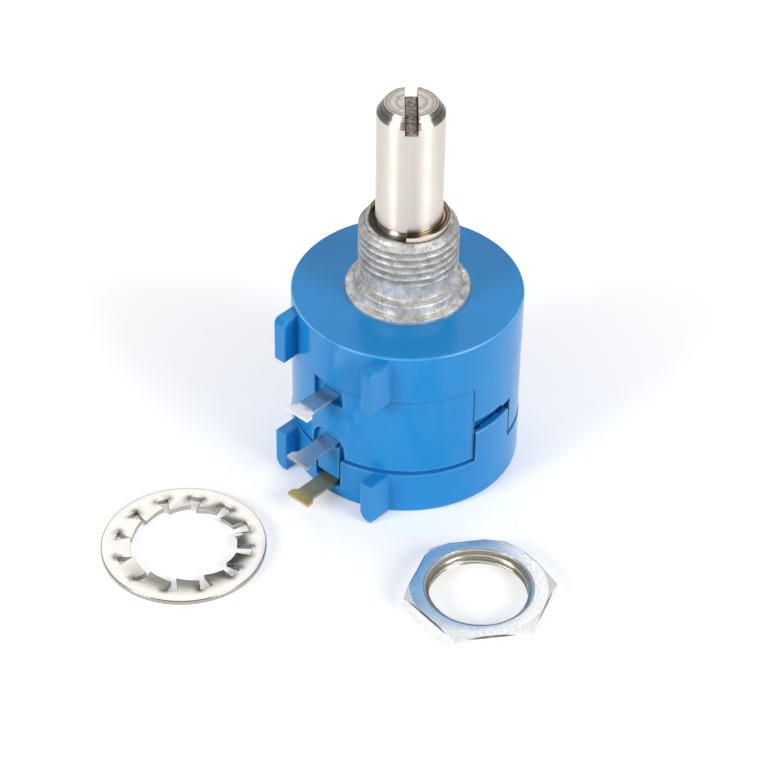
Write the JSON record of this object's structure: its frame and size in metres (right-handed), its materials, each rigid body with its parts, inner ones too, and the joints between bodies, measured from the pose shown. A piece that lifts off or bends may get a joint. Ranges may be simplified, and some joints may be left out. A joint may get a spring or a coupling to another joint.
{
  "type": "multi-turn potentiometer",
  "caption": "Ten-turn wirewound panel potentiometer with snap-together plastic body, threaded bushing, slotted shaft, three solder terminals, nut and lock washer.",
  "frame": {"origin": "centre of the body's flat rear face, the surface that the part stands on", "axes": "+Z along the shaft, out of the front face; the solder terminals and the lugs point to -Y; +X is to the right when the terminals face the viewer"},
  "size_m": [0.0402, 0.0452, 0.04],
  "materials": {
    "housing_plastic": "semi-gloss moulded blue thermoplastic",
    "bushing_nickel": "dull nickel-plated brass, turned and threaded",
    "shaft_nickel": "bright nickel-plated turned shaft",
    "spring_steel": "plated spring steel with a warm tint",
    "rotor_plastic": "black glass-filled thermoplastic",
    "contact_brass": "spring brass strip",
    "resistance_wire": "fine nickel-chrome wire wound on a round former",
    "tap_nickel": "nickel strip",
    "terminal_tinned": "tinned brass strip",
    "terminal_brass": "thinly gold-washed brass strip",
    "washer_nickel": "nickel-plated spring steel",
    "nut_nickel": "bright nickel-plated brass"
  },
  "bodies": {
    "housing": {"front_housing": "housing_plastic", "rear_cover": "housing_plastic", "bushing": "bushing_nickel", "resistance_element": "resistance_wire", "end_tap_front": "tap_nickel", "end_tap_rear": "tap_nickel", "terminal_upper": "terminal_tinned", "terminal_middle": "terminal_tinned", "terminal_wiper": "terminal_brass", "wiper_brush": "contact_brass"},
    "spindle": {"shaft": "shaft_nickel", "retaining_ring": "spring_steel", "thrust_washer": "spring_steel", "rotor": "rotor_plastic", "slip_ring": "contact_brass", "collector_strip": "contact_brass"},
    "slider": {"carriage": "rotor_plastic", "wiper_contact": "contact_brass"},
    "nut": {"mounting_nut": "nut_nickel"},
    "washer": {"lock_washer": "washer_nickel"}
  },
  "joints": [
    {"name": "shaft_turn", "type": "hinge", "parent": "housing", "child": "spindle", "pos_m": [0, 0, 0.01], "axis": [0, 0, 1], "range_deg": [-1800, 1800]},
    {"name": "carriage_slide", "type": "slide", "parent": "spindle", "child": "slider", "axis": [0, 0, 1], "range_m": [-0.00525, 0.00525]},
    {"name": "nut_lift", "type": "slide", "parent": "housing", "child": "nut", "axis": [0, 0, 1], "range_m": [0, 0.045]},
    {"name": "washer_lift", "type": "slide", "parent": "housing", "child": "washer", "axis": [0, 0, 1], "range_m": [0, 0.045]}
  ],
  "couplings": [
    {"joint": "shaft_turn", "follows": "carriage_slide", "rad_per_m": 5984}
  ]
}
